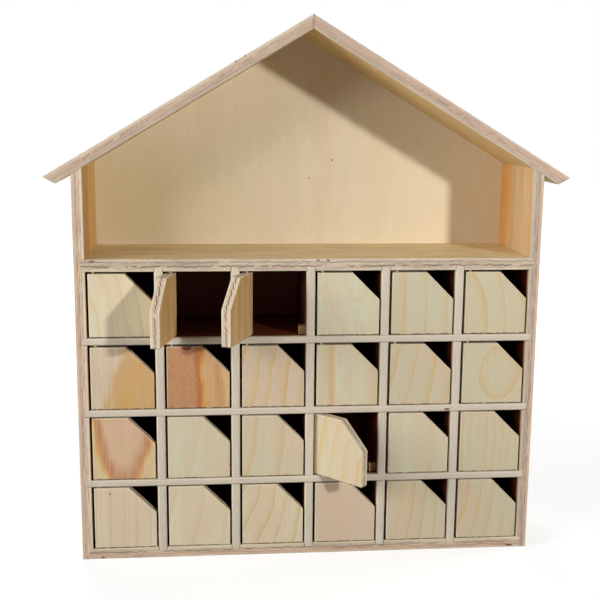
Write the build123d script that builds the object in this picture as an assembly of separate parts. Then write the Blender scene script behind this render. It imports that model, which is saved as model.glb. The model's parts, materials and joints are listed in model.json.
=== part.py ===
from build123d import *
import os
from math import cos, hypot, radians, sin, tan

# House-shaped advent calendar in plywood: a carcass of slotted boards, an open attic under a
# pitched roof, and a grid of small doors that turn on wooden pins.
# Lengths are in millimetres and angles in degrees. The origin is the middle of the base on the
# ground, with +X to the right, +Y to the back and +Z up.

# Grid of compartments
columns = 6
rows = 4
cell_width = 48.7
cell_height = 48.6
cell_depth = 82.0

# Board thicknesses
side_thickness = 8.0
roof_thickness = 8.5
base_thickness = 8.0
shelf_thickness = 9.0
rail_thickness = 5.4
divider_thickness = 6.4
back_thickness = 4.0

# Attic and roof
attic_wall_height = 65.0  # side board above the shelf, at its inner face
roof_angle = 30.8
eave_overhang = 19.5  # roof's outer tip beyond the outer face of a side

# Joinery between the boards
dado_depth = 3.0  # shelf, rails and base into the sides
groove_depth = 2.5  # dividers into the shelf and the base
rebate_lap = 4.0  # back panel over the back edges of sides, roof and base
glue_clearance = 0.05
panel_clearance = 0.1

# Doors, with their upper free corner cut away as a finger gap
door_thickness = 7.0
corner_cut = 20.0
swing_clearance = 0.25  # between the turning hinge edge and the board beside it
latch_gap = 1.2
upper_head_gap = 1.6  # over the doors of the two upper rows
lower_head_gap = 0.9
foot_gap = 0.6
open_angles = {(1, 2): 103.0, (1, 3): 112.0, (3, 4): 46.0}  # row and column from the top left

# Hinge pins
pin_diameter = 2.0
pin_reach = 5.0  # into a door, at its head and at its foot
pin_skin = 3.0  # wood left behind a blind pin hole in the shelf or the base
pin_end_clearance = 0.3
pin_seat_clearance = 0.02
pin_running_clearance = 0.08

# Blocks in the lower free corner of each compartment, which stop the closed door
stop_width = 5.0
stop_height = 6.4
stop_depth = 6.0
stop_clearance = 0.3

# Eased front edges
shell_round = 0.5
rail_round = 1.3
divider_round = 1.5
door_round = 0.5

cut_overrun = 2.0

# Places worked out from the sizes above
roof_slope = tan(radians(roof_angle))
roof_cosine = cos(radians(roof_angle))
column_pitch = cell_width + divider_thickness
row_pitch = cell_height + rail_thickness
inner_half = (columns * column_pitch - divider_thickness) / 2
outer_half = inner_half + side_thickness
eave_half = outer_half + eave_overhang
front = -(cell_depth + back_thickness) / 2
panel_face = front + cell_depth
back = panel_face + back_thickness
lap_line = front + cell_depth / 2
shelf_under = base_thickness + rows * row_pitch - rail_thickness
shelf_top = shelf_under + shelf_thickness
ridge_height = shelf_top + attic_wall_height + inner_half * roof_slope + roof_thickness / roof_cosine
pin_radius = pin_diameter / 2
pin_inset = door_thickness / 2
pin_y = front + door_thickness / 2
hinge_gap = hypot(pin_inset, door_thickness / 2) - pin_inset + swing_clearance
door_width = cell_width - hinge_gap - latch_gap
door_bore_radius = pin_radius + pin_running_clearance
door_bore_depth = pin_reach + pin_end_clearance


def cell_left(column):
    """Left wall of a column of compartments, counted from 1 at the left."""
    return -inner_half + (column - 1) * column_pitch


def cell_floor(row):
    """Floor of a row of compartments, counted from 1 at the top."""
    return shelf_under - cell_height - (row - 1) * row_pitch


def head_gap(row):
    """Gap over the doors of a row."""
    return upper_head_gap if row <= rows / 2 else lower_head_gap


def pin_x(column):
    """Hinge axis of a column of doors."""
    return cell_left(column) + hinge_gap + pin_inset


def roof_line(x, depth):
    """Height at x of a line that lies the given depth under the roof's upper face."""
    return ridge_height - depth / roof_cosine - roof_slope * abs(x)


def block(low, high):
    """Box between two corners."""
    size = Vector(*high) - Vector(*low)
    return Pos(*low) * Box(size.X, size.Y, size.Z, align=(Align.MIN, Align.MIN, Align.MIN))


def prism(outline, near, far):
    """Solid with an outline of (x, z) points, from near to far along Y."""
    wire = Wire.make_polygon([Vector(x, near, z) for x, z in outline], close=True)
    return extrude(Face(wire), amount=far - near, dir=(0, 1, 0))


def peg(column, low, high, radius):
    """Upright cylinder on the hinge axis of a column."""
    solid = Cylinder(radius, high - low, align=(Align.CENTER, Align.CENTER, Align.MIN))
    return Pos(pin_x(column), pin_y, low) * solid


def ease_front(board, axis, radius):
    """Rounds the front edges of a board that run along an axis."""
    return fillet(board.edges().filter_by(axis).group_by(Axis.Y)[0], radius)


def panel_outline(grow):
    """House-shaped outline of the back panel, grown all round."""
    half = inner_half + rebate_lap + grow
    low = base_thickness - rebate_lap - grow
    depth = roof_thickness - rebate_lap - grow
    shoulder = roof_line(half, depth)
    return [(-half, low), (half, low), (half, shoulder), (0, roof_line(0, depth)), (-half, shoulder)]


def panel_rebate():
    """Space that the back panel takes out of the boards round it."""
    return prism(panel_outline(panel_clearance), panel_face, back + cut_overrun)


def level_board(low, high, far, radius):
    """Board across the carcass, with both ends in the dados of the sides."""
    reach = inner_half + dado_depth
    return ease_front(block((-reach, front, low), (reach, far, high)), Axis.X, radius)


def divider_grooves(low, high, near):
    """Grooves for all the dividers, from near to the back panel."""
    grooves = []
    for column in range(2, columns + 1):
        right = cell_left(column) + glue_clearance
        left = cell_left(column) - divider_thickness - glue_clearance
        grooves.append(block((left, near, low), (right, panel_face + cut_overrun, high)))
    return grooves


def rail_span(number):
    """Lower and upper face of a rail, counted from 1 at the top."""
    high = cell_floor(number)
    return high - rail_thickness, high


def side_board():
    """Right side, bevelled on top under the roof, with dados for the boards that cross the carcass."""
    outline = [(x, 0) for x in (inner_half, outer_half)]
    outline += [(x, roof_line(x, roof_thickness)) for x in (outer_half, inner_half)]
    board = ease_front(prism(outline, front, back), Axis.Z, shell_round)
    bottom = inner_half + dado_depth
    near = front - cut_overrun
    spans = [rail_span(number) for number in range(1, rows)]
    spans.append((shelf_under, shelf_top))
    for low, high in spans:
        corner = (bottom, panel_face, high + glue_clearance)
        board -= block((inner_half - cut_overrun, near, low - glue_clearance), corner)
    corner = (bottom, back + cut_overrun, base_thickness + glue_clearance)
    board -= block((inner_half - cut_overrun, near, -cut_overrun), corner)
    return board - panel_rebate()


def roof_board():
    """Right roof board: mitred at the ridge, and cut at the same angle at the eave."""
    tip = (eave_half, roof_line(eave_half, 0))
    toe_x = eave_half - 2 * roof_thickness * sin(radians(roof_angle))
    toe = (toe_x, roof_line(toe_x, roof_thickness))
    board = prism([(0, ridge_height), tip, toe, (0, roof_line(0, roof_thickness))], front, back)
    outer_edges = board.edges().group_by(Axis.Y)[0].sort_by(Axis.X)[1:]
    return fillet(outer_edges, shell_round) - panel_rebate()


def base_board():
    """Floor of the lowest row, with divider grooves and blind pin holes in its top."""
    board = level_board(0, base_thickness, back, shell_round) - panel_rebate()
    board -= divider_grooves(base_thickness - groove_depth, base_thickness + cut_overrun, front - cut_overrun)
    radius = pin_radius + pin_seat_clearance
    holes = [peg(column, pin_skin, base_thickness + cut_overrun, radius) for column in range(1, columns + 1)]
    return board - holes


def attic_shelf():
    """Attic floor, with divider grooves and blind pin holes in its underside."""
    board = level_board(shelf_under, shelf_top, panel_face, shell_round)
    board -= divider_grooves(shelf_under - cut_overrun, shelf_under + groove_depth, front - cut_overrun)
    radius = pin_radius + pin_seat_clearance
    low, high = shelf_under - cut_overrun, shelf_top - pin_skin
    return board - [peg(column, low, high, radius) for column in range(1, columns + 1)]


def rail(number):
    """Board between two rows: half-lap slots from the back, and through holes for the pins."""
    low, high = rail_span(number)
    board = level_board(low, high, panel_face, rail_round)
    board -= divider_grooves(low - cut_overrun, high + cut_overrun, lap_line)
    radius = pin_radius + pin_seat_clearance
    low, high = low - cut_overrun, high + cut_overrun
    return board - [peg(column, low, high, radius) for column in range(1, columns + 1)]


def divider(number):
    """Upright board between two columns, with half-lap slots from the front for the rails."""
    right = cell_left(number + 1)
    left = right - divider_thickness
    foot, head = base_thickness - groove_depth, shelf_under + groove_depth
    board = ease_front(block((left, front, foot), (right, panel_face, head)), Axis.Z, divider_round)
    for level in range(1, rows):
        low, high = rail_span(level)
        near = (left - cut_overrun, front - cut_overrun, low - glue_clearance)
        board -= block(near, (right + cut_overrun, lap_line, high + glue_clearance))
    return board


def door(row, column):
    """Door leaf with its cut corner and blind pin bores, turned to the angle at which it stands."""
    left = cell_left(column) + hinge_gap
    right = left + door_width
    low = cell_floor(row) + foot_gap
    high = cell_floor(row) + cell_height - head_gap(row)
    outline = [(left, low), (right, low), (right, high - corner_cut), (right - corner_cut, high), (left, high)]
    leaf = prism(outline, front, front + door_thickness)
    rims = leaf.edges().group_by(Axis.Y)
    leaf = fillet(rims[0] + rims[-1], door_round)
    leaf -= peg(column, low - cut_overrun, low + door_bore_depth, door_bore_radius)
    leaf -= peg(column, high - door_bore_depth, high + cut_overrun, door_bore_radius)
    axis = Axis((pin_x(column), pin_y, 0), (0, 0, 1))
    return leaf.rotate(axis, -open_angles.get((row, column), 0))


def pin_row(low, high):
    """One pin for each column, from low to high."""
    return Part() + [peg(column, low, high, pin_radius) for column in range(1, columns + 1)]


def stop_row(row):
    """One stop for each compartment of a row, glued to its floor and its right wall."""
    near = front + door_thickness + stop_clearance
    floor = cell_floor(row)
    stops = []
    for column in range(1, columns + 1):
        wall = cell_left(column) + cell_width
        stops.append(block((wall - stop_width, near, floor), (wall, near + stop_depth, floor + stop_height)))
    return Part() + stops


def build():
    """All the pieces by name, each where it stands."""
    foot_reach = foot_gap + pin_reach
    right_side = side_board()
    right_roof = roof_board()
    pieces = {
        "left_side": mirror(right_side, about=Plane.YZ),
        "right_side": right_side,
        "left_roof": mirror(right_roof, about=Plane.YZ),
        "right_roof": right_roof,
        "back_panel": prism(panel_outline(0), panel_face, back),
        "base_board": base_board(),
        "attic_shelf": attic_shelf(),
        "base_pins": pin_row(pin_skin, base_thickness + foot_reach),
        "shelf_pins": pin_row(shelf_under - head_gap(1) - pin_reach, shelf_top - pin_skin),
    }
    for number in range(1, rows):
        low, high = rail_span(number)
        pieces[f"rail_{number}"] = rail(number)
        head_reach = head_gap(number + 1) + pin_reach
        pieces[f"rail_{number}_pins"] = pin_row(low - head_reach, high + foot_reach)
    for number in range(1, columns):
        pieces[f"divider_{number}"] = divider(number)
    for row in range(1, rows + 1):
        pieces[f"row_{row}_stops"] = stop_row(row)
        for column in range(1, columns + 1):
            pieces[f"door_r{row}c{column}"] = door(row, column)
    return pieces


os.makedirs("parts", exist_ok=True)
for name, piece in build().items():
    export_step(piece, f"parts/{name}.step")
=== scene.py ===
import json
from math import cos, radians

import bpy
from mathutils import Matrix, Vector


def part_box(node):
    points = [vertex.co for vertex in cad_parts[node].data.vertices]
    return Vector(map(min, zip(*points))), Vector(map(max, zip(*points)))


# Looks of the plywood advent calendar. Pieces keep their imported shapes. Each one gets a solid plywood
# finish, so that its faces show veneer and its edges show the plies, glue lines and voids between them.
# Places are in metres, and finishes work in millimetres on the board's own axes.

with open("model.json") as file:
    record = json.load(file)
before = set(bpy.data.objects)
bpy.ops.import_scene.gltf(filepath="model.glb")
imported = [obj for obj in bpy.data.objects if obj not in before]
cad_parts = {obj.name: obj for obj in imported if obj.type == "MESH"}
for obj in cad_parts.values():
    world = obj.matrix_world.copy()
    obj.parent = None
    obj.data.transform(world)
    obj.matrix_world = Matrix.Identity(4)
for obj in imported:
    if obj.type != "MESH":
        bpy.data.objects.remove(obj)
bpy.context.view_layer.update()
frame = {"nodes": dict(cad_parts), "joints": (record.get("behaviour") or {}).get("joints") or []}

MM = 0.001
COLUMNS = 6
ROWS = 4
X_AXIS, Y_AXIS, Z_AXIS = range(3)

# Sizes that the boxes of the frame don't give, in degrees and millimetres
ROOF_ANGLE = 30.8
ROOF_THICKNESS = 8.5
CORNER_CUT = 20.0
CORNER_ANGLE = 45.0

# Surface of the wood: gloss, and the strength of its relief and its height in millimetres
WOOD_GLOSS = 0.25
RELIEF_STRENGTH = 0.35
RELIEF_HEIGHT = 0.3

# Painted highlight on a door's eased rim: its strength, and its width, depth and ragged border in millimetres
RIM_HIGHLIGHT_STRENGTH = 0.35
RIM_HIGHLIGHT_WIDTH = (1.1, 0.5)
RIM_HIGHLIGHT_DEPTH = (0.8, 0.4)
RIM_HIGHLIGHT_RAGGED = 0.7

# Door foot: tear-out and painted shade of the gap below; its strength, height and ragged border in
# millimetres
TORN_SHADE_STRENGTH = 0.8
TORN_SHADE_HEIGHT = (0.3, 0.0)
TORN_SHADE_RAGGED = 0.9

# Painted shade of the compartments, in millimetres: how far into the faces round them it goes, and how
# far behind their front edges it starts and is full
SHADE_SKIN = 0.4
SHADE_START = 0.6
SHADE_FULL = 5.5

# Depth of single voids, knots, stains and painted shadows behind a board's front, in millimetres
MARK_DEPTH = 2.0

# Faces, in millimetres: where the reverse gives way to the face, from the board's middle, and where a face
# gives way to the edge below it
REVERSE_TO_FACE = (-0.4, 0.4)
FACE_TO_EDGE = (0.05, 0.4)

# Edges, in millimetres: where the veneer gives way to the core, half width of the glue line between them,
# and how far this line and a row of voids wander
VENEER_TO_CORE = (0.18, -0.18)
GLUE_HALF_WIDTH = (0.42, 0.1)
GLUE_WANDER = 0.5
VOID_WANDER = 0.8

# Pin knots: how many could lie on a millimetre, and their radius in millimetres from rim to middle
KNOTS_PER_MM = 0.022
KNOT_RADIUS = (1.5, 0.5)

# Border of heartwood, in millimetres from it: both ends of its red line and of the glow outside it
RED_LINE_INNER = (-7.0, -2.0)
RED_LINE_OUTER = (0.8, -0.8)
GLOW_INNER = (-1.6, 0.2)
GLOW_OUTER = (3.0, 0.2)

# Solid wood is finished as the face of a board too thick to show a ply, with its thickness in metres and
# its veneer in millimetres
SOLID_THICKNESS = 0.2
SOLID_VENEER = 150.0

# Camera, at the viewing angle of the photograph
CAMERA_PLACE = (-0.0738, -0.7715, 0.3361)
CAMERA_TURN = (79.244, -0.489, -5.067)
CAMERA_LENS = 61.24
SENSOR_WIDTH = 36.0

# How a board lies: the turn that takes across the grain, along it and out of the face to the part's axes
FACING_FRONT = (90, 0, 0)
FACING_SIDE = (90, 0, 90)
LYING = (0, 0, -90)
UNTURNED = (0, 0, 0)

# Pieces that repeat
RAILS = [f"rail_{number}" for number in range(1, ROWS)]
DIVIDERS = [f"divider_{number}" for number in range(1, COLUMNS)]
DOORS = [f"door_r{row}c{column}" for row in range(1, ROWS + 1) for column in range(1, COLUMNS + 1)]
PINS = ["shelf_pins", *(f"{rail}_pins" for rail in RAILS), "base_pins"]
STOPS = [f"row_{row}_stops" for row in range(1, ROWS + 1)]

# Seeds, which set each piece's grain apart: of single boards, then the first of each group and its step
SEEDS = {"left_side": 11, "right_side": 12, "attic_shelf": 21, "base_board": 23, "back_panel": 51}
SEEDS.update(left_roof=61, right_roof=62)
for first, step, pieces in ((31, 1, RAILS), (41, 1, DIVIDERS), (70, 1, PINS + STOPS), (100, 3, DOORS)):
    SEEDS.update({node: first + step * number for number, node in enumerate(pieces)})

# What sets a second row of voids apart from the first, and the patches of a row from its other draws
SECOND_ROW_SEED = 20.0
PATCH_SEED = 9.0


def srgb(red, green, blue):
    """Colour for a socket, from the 0 to 255 values that it shows on a screen."""
    shares = [value / 255 for value in (red, green, blue)]
    return [s / 12.92 if s <= 0.04045 else ((s + 0.055) / 1.055) ** 2.4 for s in shares] + [1]


# Face veneers
# Pale tone of doors at the left, lightened there with painted light
BRIGHT_LIT_PINE = srgb(220, 209, 178)
STRAW_PINE = srgb(209, 204, 173)
PALE_PINE = srgb(207, 199, 170)
# Pale tone of doors at the right, darkened there with painted shade
DULL_SHADED_PINE = srgb(199, 193, 163)
ROSY_PINE = srgb(208, 190, 163)
SAND_PINE = srgb(217, 196, 150)
FLUSH_PINE = srgb(207, 170, 122)
GOLD_PINE = srgb(187, 147, 82)
HONEY_PINE = srgb(194, 164, 118)
ORANGE_PINE = srgb(208, 170, 92)
CREAM_VENEER = srgb(225, 208, 178)
SHELF_VENEER = srgb(231, 216, 170)
LOFT_VENEER = srgb(207, 183, 122)

# Late wood, tinges and heartwood
TAN_LATE = srgb(204, 170, 120)
YELLOW_LATE = srgb(206, 168, 102)
ROSE_LATE = srgb(212, 178, 150)
GOLD_LATE = srgb(172, 130, 76)
AMBER_LATE = srgb(200, 156, 98)
HONEY_LATE = srgb(176, 116, 60)
OLIVE_TINGE = srgb(200, 184, 108)
HEART_ROSE = srgb(210, 172, 142)
HEART_GOLD = srgb(200, 154, 84)
HEART_ORANGE = srgb(206, 142, 62)
HEART_BROWN = srgb(186, 132, 92)
HEART_RED = srgb(172, 96, 38)

# Ply edges and voids, and the tones of painted highlights, shade and shadow
ROSE_CORE = srgb(192, 156, 130)
BROWN_CORE = srgb(166, 142, 122)
PALE_CORE = srgb(208, 194, 175)
LEAF_CORE = srgb(200, 168, 140)
SHELF_CORE = srgb(192, 168, 144)
PALE_EDGE = srgb(206, 194, 170)
RAIL_EDGE = srgb(211, 200, 181)
LEFT_EDGE = srgb(220, 206, 182)
BLUSH_EDGE = srgb(206, 182, 158)
SHELF_EDGE = srgb(198, 185, 164)
DULL_EDGE = srgb(190, 178, 162)
CLEAR_EDGE = srgb(209, 191, 170)
DUSK_EDGE = srgb(198, 176, 158)
GREY_EDGE = srgb(188, 173, 155)
GLUE_LINE = srgb(186, 124, 88)
VOID_BROWN = srgb(82, 62, 54)
VOID_AND_SHADOW_RED = srgb(92, 26, 12)
KNOT_BROWN = srgb(128, 86, 54)
KNOT_GOLD = srgb(166, 128, 76)
TORN_SHADE_BROWN = srgb(84, 44, 24)
RIM_HIGHLIGHT_TONE = srgb(232, 219, 192)

# Solid wood, and the painted shade of the compartments
PIN_WOOD = srgb(214, 196, 142)
STOP_WOOD = srgb(190, 148, 96)
INSIDE_SHADE = srgb(118, 58, 34)


class Signal:
    """What a node puts out, ready for sums."""

    def __init__(self, tree, socket):
        self.tree = tree
        self.socket = socket

    def math(self, operation, *others):
        node = self.tree.nodes.new("ShaderNodeMath")
        node.operation = operation
        for socket, value in zip(node.inputs, (self, *others)):
            feed(self.tree, socket, value)
        return Signal(self.tree, node.outputs[0])

    def __add__(self, other):
        return self.math("ADD", other)

    def __sub__(self, other):
        return self.math("SUBTRACT", other)

    def __mul__(self, other):
        return self.math("MULTIPLY", other)

    def __truediv__(self, other):
        return self.math("DIVIDE", other)

    def __pow__(self, other):
        return self.math("POWER", other)

    def size(self):
        return self.math("ABSOLUTE")

    def floor(self):
        return self.math("FLOOR")

    def least(self, other):
        return self.math("MINIMUM", other)

    def most(self, other):
        return self.math("MAXIMUM", other)

    def ramp(self, low, high):
        """Smooth step from 0 at low to 1 at high, or down where low is the larger."""
        node = self.tree.nodes.new("ShaderNodeMapRange")
        node.interpolation_type = "SMOOTHSTEP"
        for name, value in (("Value", self), ("From Min", low), ("From Max", high)):
            feed(self.tree, node.inputs[name], value)
        return Signal(self.tree, node.outputs["Result"])


def feed(tree, socket, value):
    """Links a signal to a socket, or sets the socket to a plain value."""
    if isinstance(value, Signal):
        tree.links.new(value.socket, socket)
    else:
        socket.default_value = value


def combine(tree, *parts):
    """Vector from three numbers."""
    node = tree.nodes.new("ShaderNodeCombineXYZ")
    for socket, value in zip(node.inputs, parts):
        feed(tree, socket, value)
    return Signal(tree, node.outputs[0])


def separate(tree, vector):
    """The three numbers of a vector."""
    node = tree.nodes.new("ShaderNodeSeparateXYZ")
    feed(tree, node.inputs[0], vector)
    return [Signal(tree, socket) for socket in node.outputs]


def object_place(tree):
    """A place on the piece, in metres on the part's axes."""
    return Signal(tree, tree.nodes.new("ShaderNodeTexCoord").outputs["Object"])


def chance(tree, number):
    """A random value from 0 to 1 for each whole number."""
    node = tree.nodes.new("ShaderNodeTexWhiteNoise")
    node.noise_dimensions = "1D"
    feed(tree, node.inputs["W"], number)
    return Signal(tree, node.outputs["Value"])


def blend(tree, amount, first, second, kind="MIX"):
    """Mix of two colours."""
    node = tree.nodes.new("ShaderNodeMix")
    node.data_type = "RGBA"
    node.blend_type = kind
    colours = [socket for socket in node.inputs if socket.type == "RGBA"]
    feed(tree, node.inputs["Factor"], amount)
    feed(tree, colours[0], first)
    feed(tree, colours[1], second)
    return Signal(tree, next(socket for socket in node.outputs if socket.type == "RGBA"))


SOCKETS = {"place": "NodeSocketVector", "number": "NodeSocketFloat", "colour": "NodeSocketColor"}


class Effect:
    """A shader node group with named inputs and outputs."""

    def __init__(self, name, numbers=(), colours=(), outputs=(), colour_outputs=()):
        self.tree = bpy.data.node_groups.new(name, "ShaderNodeTree")
        self.add("INPUT", "place", ["place"])
        self.add("INPUT", "number", numbers)
        self.add("INPUT", "colour", colours)
        self.add("OUTPUT", "colour", colour_outputs)
        self.add("OUTPUT", "number", outputs)
        self.entry = self.tree.nodes.new("NodeGroupInput")
        self.exit = self.tree.nodes.new("NodeGroupOutput")

    def add(self, way, kind, labels):
        for label in labels:
            self.tree.interface.new_socket(label, in_out=way, socket_type=SOCKETS[kind])

    def input(self, label):
        return Signal(self.tree, self.entry.outputs[label])

    def inputs(self, *labels):
        return {label: self.input(label) for label in labels}

    def axes(self):
        """Across the grain, along it and out of the face, in millimetres from the board's middle."""
        return separate(self.tree, self.input("place"))

    def noise(self, *place, scale, detail=2.0, roughness=0.5):
        """Smooth noise from 0 to 1, at a place given by three numbers."""
        node = self.tree.nodes.new("ShaderNodeTexNoise")
        feed(self.tree, node.inputs["Vector"], combine(self.tree, *place))
        for name, value in (("Scale", scale), ("Detail", detail), ("Roughness", roughness)):
            feed(self.tree, node.inputs[name], value)
        return Signal(self.tree, node.outputs["Fac"])

    def output(self, label, value):
        feed(self.tree, self.exit.inputs[label], value)

    def use(self, tree, **values):
        """Places the group in a tree. Returns its outputs by name."""
        node = tree.nodes.new("ShaderNodeGroup")
        node.node_tree = self.tree
        for label, value in values.items():
            feed(tree, node.inputs[label], value)
        return {socket.name: Signal(tree, socket) for socket in node.outputs}


def wood_fibre():
    """Fine lines along the grain, broader strands, and short dark flecks among them."""
    effect = Effect("wood_fibre", ["seed"], outputs=["streak", "strand", "fleck"])
    seed = effect.input("seed")
    across, along, out = effect.axes()
    strand = effect.noise(across + seed, along * 0.07, out, scale=0.3, detail=3, roughness=0.55)
    coarse = effect.noise(across + seed, along * 0.03, out, scale=0.8, detail=5, roughness=0.6)
    fine = effect.noise(across, along * 0.03 + seed, out, scale=3.0, detail=3, roughness=0.6)
    flecks = effect.noise(across, along * 0.14, out + seed, scale=2.4)
    effect.output("streak", (coarse * 0.6 + fine * 0.4).ramp(0.34, 0.66))
    effect.output("strand", strand.ramp(0.34, 0.66))
    effect.output("fleck", flecks.ramp(0.52, 0.66))
    return effect


# Values that a board gives its growth bands
GROWTH = ("across", "along", "draw", "spacing", "wander", "shift")


def growth_bands():
    """Bands of late wood round a pith, each with a thin line at its end and a blush beyond it."""
    effect = Effect("growth_bands", [*GROWTH, "seed"], outputs=["band", "line", "blush", "radius"])
    value = effect.input
    across, along, out = effect.axes()
    bent = effect.noise(across + value("seed"), along * 0.45, out * 0.5, scale=0.06, detail=3, roughness=0.45)
    side = across - value("across")
    length = (along - value("along")) * value("draw")
    radius = (side * side + length * length).math("SQRT") + (bent - 0.5) * value("wander")
    phase = radius / value("spacing") + value("shift")
    ring = phase.floor()
    rise = phase - ring
    strength = chance(effect.tree, ring + value("seed")) * 0.6 + 0.4
    effect.output("band", rise ** 2.0 * rise.ramp(1.0, 0.86) * strength)
    effect.output("line", rise.ramp(0.74, 0.88) * rise.ramp(0.99, 0.92) * strength)
    effect.output("blush", rise.ramp(0.55, 0.05) * rise.ramp(0.0, 0.08) * strength)
    effect.output("radius", radius)
    return effect


def pin_knots():
    """A few tiny knots: at most one in each cell of a scattered pattern, and none in most cells."""
    effect = Effect("pin_knots", ["seed"], outputs=["knot"])
    tree = effect.tree
    across, along, out = effect.axes()
    cells = tree.nodes.new("ShaderNodeTexVoronoi")
    feed(tree, cells.inputs["Vector"], combine(tree, across, along * 0.8, effect.input("seed")))
    cells.inputs["Scale"].default_value = KNOTS_PER_MM
    lot = separate(tree, Signal(tree, cells.outputs["Color"]))[0]
    distance = Signal(tree, cells.outputs["Distance"]) / KNOTS_PER_MM
    effect.output("knot", distance.ramp(*KNOT_RADIUS) * lot.ramp(0.72, 0.74))
    return effect


# Values that a board gives its plies
PLY = ("half", "veneer", "pitch", "slant", "linked", "slit", "gaps", "voids", "level", "spread", "second")


def ply_layers():
    """What shows on an edge: the core between the face veneers, its glue lines and its rows of voids."""
    effect = Effect("ply_layers", [*PLY, "seed"], outputs=["core", "seam", "void", "line"])
    value = effect.input
    across, along, out = effect.axes()
    run = along + across * 0.4
    wave = effect.noise(across + value("seed"), along, 0.0, scale=0.08) - 0.5
    past_core = out.size() + wave * GLUE_WANDER - value("half") + value("veneer")
    broken = effect.noise(across, along + value("seed"), out * 0.2, scale=0.1, roughness=0.6).ramp(0.35, 0.6)

    def void_row(level, shift):
        """Slanting slits in a row, or linked to a zigzag, in patches and with some of them closed."""
        seed = value("seed") + shift
        step = run / value("pitch") + effect.noise(run, seed, 0.0, scale=0.12) * 4.0
        tooth = step - step.floor() - 0.5
        tooth = tooth + (tooth.size() * 2.0 - 0.5 - tooth) * value("linked")
        drift = effect.noise(across, along, seed, scale=0.035) * (2 * VOID_WANDER) - VOID_WANDER
        from_slit = (out - level - drift - tooth * value("slant")).size()
        slit = from_slit.ramp(value("slit"), value("slit") * 0.25)
        patch = effect.noise(across, along, seed + PATCH_SEED, scale=0.03, detail=3, roughness=0.6)
        patch = patch.ramp(value("gaps"), value("gaps") + 0.14)
        is_open = chance(effect.tree, step.floor() + seed).ramp(value("gaps") * 0.5, value("gaps"))
        return slit * patch * is_open

    first_row = void_row(value("level"), 0.0)
    second_row = void_row(value("level") + value("spread"), SECOND_ROW_SEED)
    lines = (across * 0.07, along * 0.07 + value("seed"), out * 1.5)
    line = effect.noise(*lines, scale=1.0, detail=4, roughness=0.65)
    effect.output("core", past_core.ramp(*VENEER_TO_CORE))
    effect.output("seam", past_core.size().ramp(*GLUE_HALF_WIDTH) * broken)
    effect.output("void", first_row.most(second_row * value("second")) * value("voids"))
    effect.output("line", line.ramp(0.3, 0.7))
    return effect


def door_rim():
    """The painted highlight on a door leaf's eased rim, and the tear-out along its foot, darkened as painted
    shade.
    """
    sides = ("left", "right", "low", "high")
    effect = Effect("door_rim", [*sides, "half", "cut", "seed"], outputs=["rim", "torn_shade"])
    value = effect.input
    across, along, out = effect.axes()
    from_foot = along - value("low")
    from_corner = value("right") + value("high") - value("cut") - across - along
    nearest = from_corner * cos(radians(CORNER_ANGLE))
    for edge in (across - value("left"), value("right") - across, from_foot, value("high") - along):
        nearest = nearest.least(edge)
    ragged = effect.noise(across, along + value("seed"), out, scale=0.5, detail=3, roughness=0.6)
    from_face = value("half") - out.size()
    effect.output("rim", (nearest + ragged * RIM_HIGHLIGHT_RAGGED).ramp(*RIM_HIGHLIGHT_WIDTH) * from_face.ramp(*RIM_HIGHLIGHT_DEPTH))
    broken = effect.noise(across, value("seed"), 0.0, scale=0.22, detail=3, roughness=0.7)
    effect.output("torn_shade", (from_foot - broken * TORN_SHADE_RAGGED).ramp(*TORN_SHADE_HEIGHT) * broken.ramp(0.4, 0.52))
    return effect


def compartment_depth():
    """How far inside a compartment a place of the part lies: 0 at the front and outside, 1 deep within. It
    masks the painted shade.
    """
    effect = Effect("compartment_depth", outputs=["inside"])
    across, back, up = effect.axes()
    shelf_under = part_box("attic_shelf")[0].z / MM
    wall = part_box("right_side")[0].x / MM
    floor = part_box("base_board")[1].z / MM
    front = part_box("base_board")[0].y / MM
    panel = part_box("back_panel")[0].y / MM
    within = back.ramp(front + SHADE_START, front + SHADE_FULL)
    for place, face in ((across.size(), wall), (up, shelf_under), (back, panel)):
        within = within * place.ramp(face + SHADE_SKIN, face + SHADE_SKIN / 2)
    effect.output("inside", within * up.ramp(floor - SHADE_SKIN, floor - SHADE_SKIN / 2))
    return effect


def front_mark():
    """One open void, knot, stain or painted shadow at the front of a board: an oval of little depth."""
    effect = Effect("front_mark", ["x", "front", "z", "half_width", "half_height"], outputs=["mark"])
    value = effect.input
    across, back, up = effect.axes()
    side = (across - value("x")) / value("half_width")
    rise = (up - value("z")) / value("half_height")
    near = (back - value("front")).ramp(MARK_DEPTH, MARK_DEPTH / 2)
    effect.output("mark", (side * side + rise * rise).ramp(1.5, 0.5) * near)
    return effect


FIBRE = wood_fibre()
BANDS = growth_bands()
KNOTS = pin_knots()
LAYERS = ply_layers()
RIM = door_rim()
DEPTH = compartment_depth()
MARK = front_mark()

# Values that a board gives its heartwood
HEART = ("stain", "reverse_stain", "reach", "soft", "border", "flecks")


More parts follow.
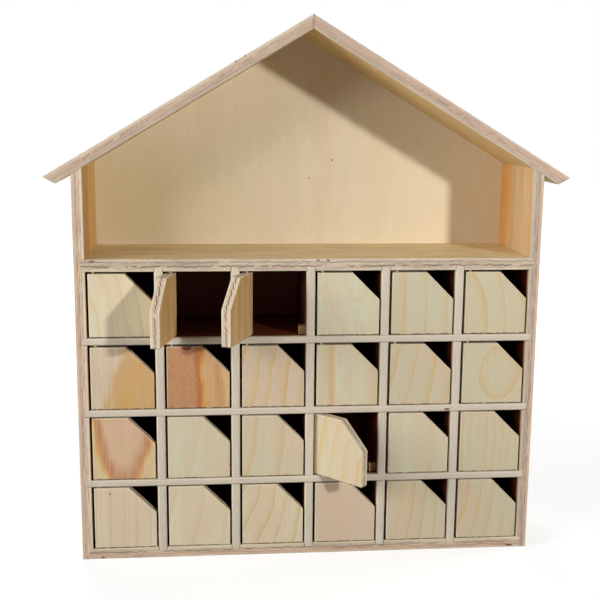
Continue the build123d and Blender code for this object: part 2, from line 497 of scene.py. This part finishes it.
def plywood():
    """Colour, roughness and relief of a plywood board, from a place on its own axes."""
    numbers = [*PLY, *GROWTH, *HEART, "figure", "fibre", "cloud", "knots", "glue", "lines", "seed"]
    colours = ["pale", "late", "reverse", "reverse_late", "edge", "under", "core", "heart", "tinge"]
    effect = Effect("plywood", numbers, colours, outputs=["roughness", "relief"], colour_outputs=["colour"])
    tree = effect.tree
    value = effect.input
    across, along, out = effect.axes()
    common = effect.inputs("place", "seed")
    fibre = FIBRE.use(tree, **common)
    growth = BANDS.use(tree, **common, **effect.inputs(*GROWTH))
    plies = LAYERS.use(tree, **common, **effect.inputs(*PLY))
    knots = KNOTS.use(tree, **common)
    mottle = effect.noise(across + value("seed"), along * 0.4, out, scale=0.05).ramp(0.36, 0.62)
    front = out.ramp(*REVERSE_TO_FACE)

    # Face veneers, with their growth bands
    late = blend(tree, front, value("reverse_late"), value("late"))
    face = blend(tree, front, value("reverse"), value("pale"))
    face = blend(tree, mottle * value("cloud"), face, value("tinge"))
    face = blend(tree, growth["blush"] * value("figure") * 0.5, face, ROSE_LATE)
    face = blend(tree, growth["band"] * value("figure"), face, late)
    face = blend(tree, growth["line"] * value("figure") * 0.6, face, late)

    # Heartwood round the pith, with a red border and an orange glow outside it
    from_border = growth["radius"] - value("reach") + (fibre["strand"] * 0.3 - mottle) * value("soft")
    inside = from_border.ramp(value("soft"), value("soft") * -1.0)
    depth = value("reverse_stain") + (value("stain") - value("reverse_stain")) * front
    stain = inside * (fibre["strand"] * 0.25 + 0.75) * depth
    border = from_border.ramp(*RED_LINE_INNER) * from_border.ramp(*RED_LINE_OUTER)
    border = border * (fibre["streak"] * 0.8 + 0.2)
    glow = from_border.ramp(*GLOW_OUTER) * from_border.ramp(*GLOW_INNER)
    face = blend(tree, stain, face, value("heart"))
    face = blend(tree, border * value("border"), face, HEART_RED)
    face = blend(tree, glow * value("border") * 0.8, face, HEART_ORANGE)
    face = blend(tree, fibre["fleck"] * (inside * value("flecks") + 0.03), face, VOID_BROWN)
    face = blend(tree, knots["knot"] * value("knots"), face, KNOT_BROWN)

    # Edges, from the face veneers to the core
    veneer = blend(tree, front, value("under"), value("edge"))
    below_face = out.size().ramp(*(value("half") - below for below in FACE_TO_EDGE))
    colour = blend(tree, below_face, face, veneer)
    colour = blend(tree, plies["core"], colour, blend(tree, plies["line"], value("core"), veneer))
    colour = blend(tree, plies["seam"] * value("glue"), colour, GLUE_LINE)
    colour = blend(tree, plies["void"], colour, VOID_BROWN)

    # Light and dark lines over all of it
    streaks = fibre["streak"] * 0.6 + fibre["strand"] * 0.4 - 0.5
    light = streaks * value("fibre") + (plies["line"] - 0.5) * below_face * value("lines") + 1.0
    effect.output("colour", blend(tree, 1.0, colour, combine(tree, light, light, light), "MULTIPLY"))
    effect.output("roughness", fibre["streak"] * 0.2 + plies["core"] * 0.1 + 0.5)
    grain = fibre["streak"] * 0.3 - growth["band"] * 0.25
    effect.output("relief", grain + plies["line"] * below_face * 0.4 - plies["void"] * 2.0)
    return effect


PLYWOOD = plywood()

# Finish of a plain board. Lengths are in millimetres, and strengths are shares.
PLAIN_BOARD = {
    # Growth bands: how far they wander, and where the first one starts, in bands
    "wander": 5.0,
    "shift": 0.0,
    # Heartwood: its strength, its reach from the pith, its soft border, red border line, flecks and tone
    "stain": 0.0,
    "reach": 0.0,
    "soft": 1.0,
    "border": 0.0,
    "flecks": 0.0,
    "heart": HEART_BROWN,
    # Face veneer: strength of its fibre, of clouds of another tinge, and of pin knots
    "fibre": 0.06,
    "cloud": 0.3,
    "tinge": ROSE_LATE,
    "knots": 0.0,
    # Edges: tones on the side of the face, on the other side and in the core, and the face veneers' thickness
    "edge": PALE_EDGE,
    "under": PALE_EDGE,
    "core": ROSE_CORE,
    "veneer": 1.9,
    # Edges: strength of the glue lines and of the lines in the core
    "glue": 0.45,
    "lines": 0.2,
    # Voids: pitch and slant of the slits, share of zigzag, half width, how many are closed, and strength
    "pitch": 3.6,
    "slant": 1.7,
    "linked": 0.0,
    "slit": 0.5,
    "gaps": 0.4,
    "voids": 0.6,
    # Rows of voids: level of the first from the board's middle, the second's over it, and its strength
    "level": 0.0,
    "spread": 2.0,
    "second": 0.0,
}


def figure(across, along, draw, spacing, strength, pale=PALE_PINE, late=TAN_LATE, **more):
    """The grain of one board: where its pith lies, how far apart its bands are and how strong they look.

    The smaller the draw is, the longer the bands are along the grain. The reverse is as the face unless it
    is given.
    """
    values = dict(PLAIN_BOARD, across=across, along=along, draw=draw, spacing=spacing, figure=strength)
    values.update(pale=pale, late=late, reverse=pale, reverse_late=late)
    values.update(more)
    values.setdefault("reverse_stain", values["stain"])
    return values


# Tints of single marks, each with its strength
# Tint of open voids, also used for a painted shadow
VOID_AND_SHADOW = (VOID_AND_SHADOW_RED, 0.85)
DARK_KNOT = (KNOT_BROWN, 0.85)
GOLD_KNOT = (KNOT_GOLD, 0.85)
RIDGE_SEAM = (KNOT_BROWN, 0.85)
OLIVE_AREA = (OLIVE_TINGE, 0.15)

# Marks that show from the front: X and Z of the middle, half width and half height in millimetres, and tint
MARKS = {
    "rail_2": [(104.0, 112.4, 2.2, 0.9, VOID_AND_SHADOW)],
    "attic_shelf": [
        (5.0, 226.4, 1.3, 0.6, VOID_AND_SHADOW),
        (12.4, 226.4, 1.3, 0.6, VOID_AND_SHADOW),
        (-157.0, 226.3, 2.0, 0.6, VOID_AND_SHADOW),
    ],
    "left_roof": [
        (-54.5, 366.6, 1.2, 0.8, VOID_AND_SHADOW),
        (-48.0, 370.3, 0.9, 0.6, VOID_AND_SHADOW),
        (0.0, 394.0, 0.3, 9.0, RIDGE_SEAM),
    ],
    "right_roof": [(0.0, 394.0, 0.3, 9.0, RIDGE_SEAM)],
    "base_board": [(157.0, 1.6, 2.8, 0.8, VOID_AND_SHADOW), (-155.0, 1.2, 1.6, 0.6, VOID_AND_SHADOW)],
    "back_panel": [
        (24.0, 294.3, 0.6, 1.1, DARK_KNOT),
        (5.7, 280.0, 0.5, 0.8, DARK_KNOT),
        (-112.0, 264.0, 62.0, 44.0, OLIVE_AREA),
        (-124.0, 264.0, 30.0, 30.0, OLIVE_AREA),
    ],
    # Painted shadow of the open door_r1c3, at the head of this door
    "door_r2c2": [(-90.5, 162.2, 3.4, 1.8, VOID_AND_SHADOW)],
    "door_r4c1": [(-148.7, 51.4, 0.8, 1.0, GOLD_KNOT)],
}


def board_place(tree, middle, turn):
    """Millimetres on a board's own axes, from its middle."""
    mapping = tree.nodes.new("ShaderNodeMapping")
    mapping.vector_type = "TEXTURE"
    feed(tree, mapping.inputs["Vector"], object_place(tree))
    mapping.inputs["Location"].default_value = middle
    mapping.inputs["Rotation"].default_value = [radians(angle) for angle in turn]
    mapping.inputs["Scale"].default_value = (MM, MM, MM)
    return Signal(tree, mapping.outputs["Vector"])


def paint_leaf_light_and_shade(tree, colour, **leaf):
    """Painted highlight on a door's rim, and tear-out darkened as painted shade at its foot."""
    rim = RIM.use(tree, **leaf)
    # Painted highlight along the leaf's eased rim
    colour = blend(tree, rim["rim"] * RIM_HIGHLIGHT_STRENGTH, colour, RIM_HIGHLIGHT_TONE)
    # Tear-out at the foot, darkened as painted shade of the gap below the door
    return blend(tree, rim["torn_shade"] * TORN_SHADE_STRENGTH, colour, TORN_SHADE_BROWN)


def mark_front(tree, colour, node, part_place):
    """Single voids, knots, stains and painted shadows of a piece."""
    for x, z, half_width, half_height, (tint, strength) in MARKS.get(node, []):
        oval = {"x": x, "z": z, "half_width": half_width, "half_height": half_height}
        oval["front"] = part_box(node)[0].y / MM
        colour = blend(tree, MARK.use(tree, place=part_place, **oval)["mark"] * strength, colour, tint)
    return colour


def dress(node, middle, turn, thickness, grain, leaf=None, shaded=False):
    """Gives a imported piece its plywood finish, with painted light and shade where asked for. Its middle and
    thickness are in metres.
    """
    material = bpy.data.materials.new(node)
    material.use_nodes = True
    tree = material.node_tree
    part_place = board_place(tree, (0, 0, 0), UNTURNED)
    board = {"place": board_place(tree, middle, turn), "half": thickness / MM / 2, "seed": float(SEEDS[node])}
    ply = PLYWOOD.use(tree, **board, **grain)
    colour = ply["colour"]
    if leaf:
        colour = paint_leaf_light_and_shade(tree, colour, **board, **leaf)
    # Painted shade on the faces inside the compartments and in the gaps round the doors
    if shaded:
        colour = blend(tree, DEPTH.use(tree, place=part_place)["inside"], colour, INSIDE_SHADE, "MULTIPLY")
    colour = mark_front(tree, colour, node, part_place)
    bump = tree.nodes.new("ShaderNodeBump")
    bump.inputs["Strength"].default_value = RELIEF_STRENGTH
    bump.inputs["Distance"].default_value = RELIEF_HEIGHT * MM
    feed(tree, bump.inputs["Height"], ply["relief"])
    shader = tree.nodes["Principled BSDF"]
    shader.inputs["Specular IOR Level"].default_value = WOOD_GLOSS
    feed(tree, shader.inputs["Base Color"], colour)
    feed(tree, shader.inputs["Roughness"], ply["roughness"])
    feed(tree, shader.inputs["Normal"], Signal(tree, bump.outputs["Normal"]))
    for slot in frame["nodes"][node].material_slots:
        slot.material = material


def dress_board(node, turn, axis, grain):
    """Finishes a board that lies square to the part's axes, with its thickness along one of them, and painted
    shade inside the compartments.
    """
    low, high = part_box(node)
    dress(node, (low + high) / 2, turn, high[axis] - low[axis], grain, shaded=True)


def dress_sides():
    """Left and right side. The left one's face and the right one's reverse look into the attic."""
    wall = figure(across=-90, along=60, draw=0.12, spacing=15, strength=0.4, late=HONEY_LATE)
    wall.update(wander=14.0, veneer=2.1, knots=0.6, fibre=0.2, pitch=7.0, slant=0.9)
    left = dict(wall, pale=ORANGE_PINE, reverse=PALE_PINE, reverse_late=TAN_LATE)
    left.update(figure=0.8, spacing=11)
    left.update(heart=HONEY_LATE, stain=0.65, reach=79, soft=5.0)
    left.update(edge=LEFT_EDGE, under=BLUSH_EDGE, level=-0.4, voids=0.45)
    dress_board("left_side", FACING_SIDE, X_AXIS, left)
    right = dict(wall, pale=PALE_PINE, late=TAN_LATE, reverse=HONEY_PINE, reverse_late=HONEY_LATE)
    right.update(across=90, figure=0.26, spacing=22)
    right.update(heart=HEART_ORANGE, reverse_stain=0.9, reach=70, soft=11.0)
    right.update(edge=BLUSH_EDGE, under=DULL_EDGE, core=BROWN_CORE, level=0.6, voids=0.32, gaps=0.3)
    dress_board("right_side", FACING_SIDE, X_AXIS, right)


def dress_shelf_and_base():
    """The two boards that lie across the carcass, with zigzag voids in their edges."""
    level = figure(
        across=-120, along=0, draw=0.04, spacing=7, strength=0.7,
        pale=SHELF_VENEER, late=AMBER_LATE,
    )
    level.update(fibre=0.5, cloud=0.2, veneer=2.1, linked=0.7, gaps=0.26, voids=0.62, slant=1.4)
    shelf = dict(level, edge=SHELF_EDGE, under=SHELF_EDGE, core=SHELF_CORE, glue=0.7, lines=0.3)
    shelf.update(linked=0.4, slit=0.58, voids=0.82, pitch=5.0, level=-0.9, spread=3.0, second=0.5)
    dress_board("attic_shelf", LYING, Z_AXIS, shelf)
    dress_board("base_board", LYING, Z_AXIS, dict(level, under=BLUSH_EDGE, pitch=8.0, level=0.8))


def dress_panel():
    """Back panel, with an upright grain that hardly shows in front."""
    panel = figure(
        across=-300, along=0, draw=0.1, spacing=44, strength=0.22,
        pale=CREAM_VENEER, late=CREAM_VENEER,
    )
    panel.update(reverse_late=AMBER_LATE, tinge=OLIVE_TINGE, wander=44.0, fibre=0.05, cloud=0.09, veneer=1.0)
    dress_board("back_panel", FACING_FRONT, Y_AXIS, panel)


def dress_roof():
    """Both roof boards, with the grain from ridge to eave."""
    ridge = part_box("right_roof")[1].z
    thickness = ROOF_THICKNESS * MM
    middle = (0, 0, ridge - thickness / 2 / cos(radians(ROOF_ANGLE)))
    grain = figure(
        across=-90, along=0, draw=0.08, spacing=13, strength=0.8,
        pale=SHELF_VENEER, late=AMBER_LATE,
    )
    grain.update(reverse=LOFT_VENEER, under=GREY_EDGE, veneer=2.1, knots=0.6, fibre=0.3)
    grain.update(level=0.3, pitch=2.8, slant=1.2)
    left = dict(grain, edge=CLEAR_EDGE, voids=0.5)
    right = dict(grain, edge=DUSK_EDGE, voids=0.45, spread=-2.8, second=0.6)
    dress("left_roof", middle, (ROOF_ANGLE, *LYING[1:]), thickness, left)
    dress("right_roof", middle, (-ROOF_ANGLE, *LYING[1:]), thickness, right)


def dress_grid():
    """Rails and dividers."""
    grain = figure(across=-120, along=0, draw=0.05, spacing=8, strength=0.4)
    grain.update(core=PALE_CORE, edge=RAIL_EDGE, under=RAIL_EDGE, veneer=1.7, voids=0.1, glue=0.2, lines=0.06)
    for rail in RAILS:
        dress_board(rail, LYING, Z_AXIS, grain)
    for divider in DIVIDERS:
        dress_board(divider, FACING_SIDE, X_AXIS, grain)


# Heartwood of three doors
GOLD_HEART = {"stain": 0.9, "reach": 23, "soft": 9.0, "border": 0.25, "fibre": 0.14, "heart": HEART_GOLD}
RED_HEART = {"stain": 0.95, "reach": 104, "border": 1.0, "flecks": 0.3, "fibre": 0.22}
ROSE_HEART = {"stain": 0.85, "reach": 19.5, "border": 0.8, "flecks": 0.06, "fibre": 0.16, "heart": HEART_ROSE}

# Grain of each door: the pith's place across and along the leaf, draw, spacing and strength of the bands,
# tones, and what differs from a plain board
DOOR_FIGURES = {
    "door_r1c1": figure(-60, -113, 0.3, 9, 0.4, BRIGHT_LIT_PINE, wander=9),
    "door_r1c2": figure(-150, 30, 0.2, 14, 0.7, wander=18),
    "door_r1c3": figure(-120, 10, 0.25, 13, 0.7, wander=16),
    "door_r1c4": figure(8, 25, 0.5, 13, 0.5, STRAW_PINE, ROSE_LATE),
    "door_r1c5": figure(-150, 0, 0.2, 16.1, 0.9, DULL_SHADED_PINE, shift=0.4),
    "door_r1c6": figure(-35, -15, 0.6, 15, 0.8, DULL_SHADED_PINE),
    "door_r2c1": figure(16, -14, 0.6, 26, 0.3, ROSY_PINE, wander=14, **GOLD_HEART),
    "door_r2c2": figure(-100, 0, 0.1, 40, 0.6, FLUSH_PINE, HONEY_LATE, wander=14, **RED_HEART),
    "door_r2c3": figure(-60, 113, 0.3, 10, 1.0, ROSY_PINE, YELLOW_LATE, wander=10),
    "door_r2c4": figure(-150, 0, 0.2, 34, 0.9, STRAW_PINE, shift=0.81, cloud=0.5),
    "door_r2c5": figure(-60, 90, 0.35, 13, 0.9, DULL_SHADED_PINE, cloud=0.4),
    "door_r2c6": figure(4, 0, 0.8, 17, 0.7, DULL_SHADED_PINE, wander=9),
    "door_r3c1": figure(-2, 24, 0.38, 30, 0.3, SAND_PINE, wander=9, **ROSE_HEART),
    "door_r3c2": figure(-75, 60, 0.5, 26, 0.5, STRAW_PINE, ROSE_LATE, shift=-0.13),
    "door_r3c3": figure(-50, 20, 0.5, 20, 0.9),
    "door_r3c4": figure(40, -20, 0.7, 12, 0.8, DULL_SHADED_PINE, YELLOW_LATE, wander=8),
    "door_r3c5": figure(-200, 0, 0.15, 34, 0.4, STRAW_PINE, shift=0.7),
    "door_r3c6": figure(-200, 0, 0.1, 6, 0.7, DULL_SHADED_PINE),
    "door_r4c1": figure(-200, 0, 0.1, 10, 0.8, BRIGHT_LIT_PINE, ROSE_LATE),
    "door_r4c2": figure(-60, 120, 0.3, 18, 0.5, BRIGHT_LIT_PINE),
    "door_r4c3": figure(-50, 90, 0.4, 10, 0.8, BRIGHT_LIT_PINE, wander=8),
    "door_r4c4": figure(-200, 0, 0.1, 40, 0.5, ROSY_PINE, ROSE_LATE),
    "door_r4c5": figure(-120, 150, 0.3, 9, 0.9, DULL_SHADED_PINE),
    "door_r4c6": figure(-70, 70, 0.4, 10, 0.9, DULL_SHADED_PINE),
}
DOOR_BACK = {"reverse": GOLD_PINE, "reverse_late": GOLD_LATE}
DOOR_EDGE = {"core": LEAF_CORE, "pitch": 2.6, "slant": 1.3, "slit": 0.62, "gaps": 0.14, "voids": 0.88}


def dress_doors():
    """One finish for each door, on axes that turn with its leaf."""
    joints = {joint["child"]: joint for joint in frame["joints"]}
    # The first door rests closed, so its box gives the width and thickness of the leaves
    low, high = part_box("door_r1c1")
    pin = Vector(joints["door_r1c1"]["pos_m"])
    left, right = [(corner.x - pin.x) / MM for corner in (low, high)]
    for node in DOORS:
        joint = joints[node]
        foot, head = [(corner.z - joint["pos_m"][Z_AXIS]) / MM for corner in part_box(node)]
        leaf = {"left": left, "right": right, "low": foot, "high": head, "cut": CORNER_CUT}
        grain = dict(DOOR_FIGURES[node], **DOOR_BACK, **DOOR_EDGE)
        grain["across"] += (left + right) / 2
        turn = (*FACING_FRONT[:2], joint["range_deg"][0])
        dress(node, joint["pos_m"], turn, high.y - low.y, grain, leaf)


def dress_pins_and_stops():
    """Turned pins and sawn blocks of solid wood."""
    for pieces, wood, spacing, strength in ((PINS, PIN_WOOD, 2, 0.4), (STOPS, STOP_WOOD, 4, 0.5)):
        grain = figure(-60, 0, 0.05, spacing, strength, wood, GOLD_LATE, edge=wood, under=wood)
        grain.update(veneer=SOLID_VENEER, voids=0.0)
        for node in pieces:
            low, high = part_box(node)
            dress(node, (low + high) / 2, FACING_FRONT, SOLID_THICKNESS, grain)


# Air of the studio: its strength as light on the object, and to the camera, where 1 is white
AIR_LIGHT = 0.01
AIR_SEEN = 1.0
AIR_COLOUR = (1, 1, 1, 1)

# Floor: its width in metres, its tone under rays of light and to the camera
FLOOR_WIDTH = 8.0
FLOOR_LIT = srgb(140, 140, 140)
FLOOR_SEEN = srgb(180, 180, 180)

# Lift of the floor to white for the camera: strength near the object and far from it, at distances in metres
LIFT_NEAR = 0.6
LIFT_FAR = 1.0
NEAR_OBJECT = 0.3
FAR_FROM_OBJECT = 1.1

# Lamps: place and width in metres, and power in watts
LAMP_AIM = Vector((0.0, -0.04, 0.2))
LAMPS = {
    "key_lamp": ((0.584, -0.843, 0.455), 0.06, 6.5),
    "left_lamp": ((-1.3, -0.35, 0.5), 0.6, 16.5),
    "front_lamp": ((-0.9, -0.9, 0.62), 0.3, 4.0),
    "right_lamp": ((1.5, 0.4, 0.6), 0.6, 12.0),
    "back_lamp": ((-0.4, 1.5, 0.9), 0.8, 16.0),
}


def seen_by_camera(tree):
    """1 for rays from the camera, directly or through gloss or glass, and 0 for rays of light."""
    path = tree.nodes.new("ShaderNodeLightPath")
    rays = [Signal(tree, path.outputs[f"Is {kind} Ray"]) for kind in ("Camera", "Glossy", "Transmission")]
    return rays[0].most(rays[1]).most(rays[2])


def mix_by_camera(tree, lighting, seen, output):
    """One shader for rays of light and another for the camera."""
    node = tree.nodes.new("ShaderNodeMixShader")
    feed(tree, node.inputs[0], seen_by_camera(tree))
    tree.links.new(lighting.outputs[0], node.inputs[1])
    tree.links.new(seen.outputs[0], node.inputs[2])
    tree.links.new(node.outputs[0], output.inputs["Surface"])


def studio_air():
    """White to the camera, and a low even light to the object."""
    world = bpy.data.worlds.new("studio_air")
    bpy.context.scene.world = world
    world.use_nodes = True
    tree = world.node_tree
    tree.nodes.clear()
    shades = []
    for strength in (AIR_LIGHT, AIR_SEEN):
        shade = tree.nodes.new("ShaderNodeBackground")
        shade.inputs["Color"].default_value = AIR_COLOUR
        shade.inputs["Strength"].default_value = strength
        shades.append(shade)
    mix_by_camera(tree, *shades, tree.nodes.new("ShaderNodeOutputWorld"))


def studio_floor():
    """Wide pale floor, lifted to white for the camera where no shadow lies."""
    bpy.ops.object.select_all(action="DESELECT")
    bpy.ops.mesh.primitive_plane_add(size=FLOOR_WIDTH)
    floor = bpy.context.object
    floor.name = "studio_floor"
    material = bpy.data.materials.new("studio_floor")
    material.use_nodes = True
    tree = material.node_tree
    tree.nodes.clear()
    paints = []
    for tone in (FLOOR_LIT, FLOOR_SEEN):
        paint = tree.nodes.new("ShaderNodeBsdfDiffuse")
        paint.inputs["Color"].default_value = tone
        paints.append(paint)
    across, back, up = separate(tree, object_place(tree))
    away = (across * across + back * back).math("SQRT").ramp(NEAR_OBJECT, FAR_FROM_OBJECT)
    glow = tree.nodes.new("ShaderNodeEmission")
    feed(tree, glow.inputs["Strength"], away * (LIFT_FAR - LIFT_NEAR) + LIFT_NEAR)
    lifted = tree.nodes.new("ShaderNodeAddShader")
    tree.links.new(paints[1].outputs[0], lifted.inputs[0])
    tree.links.new(glow.outputs[0], lifted.inputs[1])
    mix_by_camera(tree, paints[0], lifted, tree.nodes.new("ShaderNodeOutputMaterial"))
    floor.data.materials.append(material)


def studio_lamps():
    """Square lamps that look at the middle of the object."""
    for name, (place, width, power) in LAMPS.items():
        light = bpy.data.lights.new(name, "AREA")
        light.size = width
        light.energy = power
        holder = bpy.data.objects.new(name, light)
        holder.visible_camera = False
        bpy.context.scene.collection.objects.link(holder)
        holder.location = place
        holder.rotation_euler = (LAMP_AIM - Vector(place)).to_track_quat("-Z", "Y").to_euler()


def studio_camera():
    """Camera of the photograph's view, with colours shown as they are written."""
    camera = bpy.data.cameras.new("camera")
    camera.lens = CAMERA_LENS
    camera.sensor_width = SENSOR_WIDTH
    holder = bpy.data.objects.new("camera", camera)
    bpy.context.scene.collection.objects.link(holder)
    holder.location = CAMERA_PLACE
    holder.rotation_euler = [radians(angle) for angle in CAMERA_TURN]
    bpy.context.scene.camera = holder
    bpy.context.scene.view_settings.view_transform = "Standard"


dress_sides()
dress_shelf_and_base()
dress_panel()
dress_roof()
dress_grid()
dress_doors()
dress_pins_and_stops()
studio_air()
studio_floor()
studio_lamps()
studio_camera()
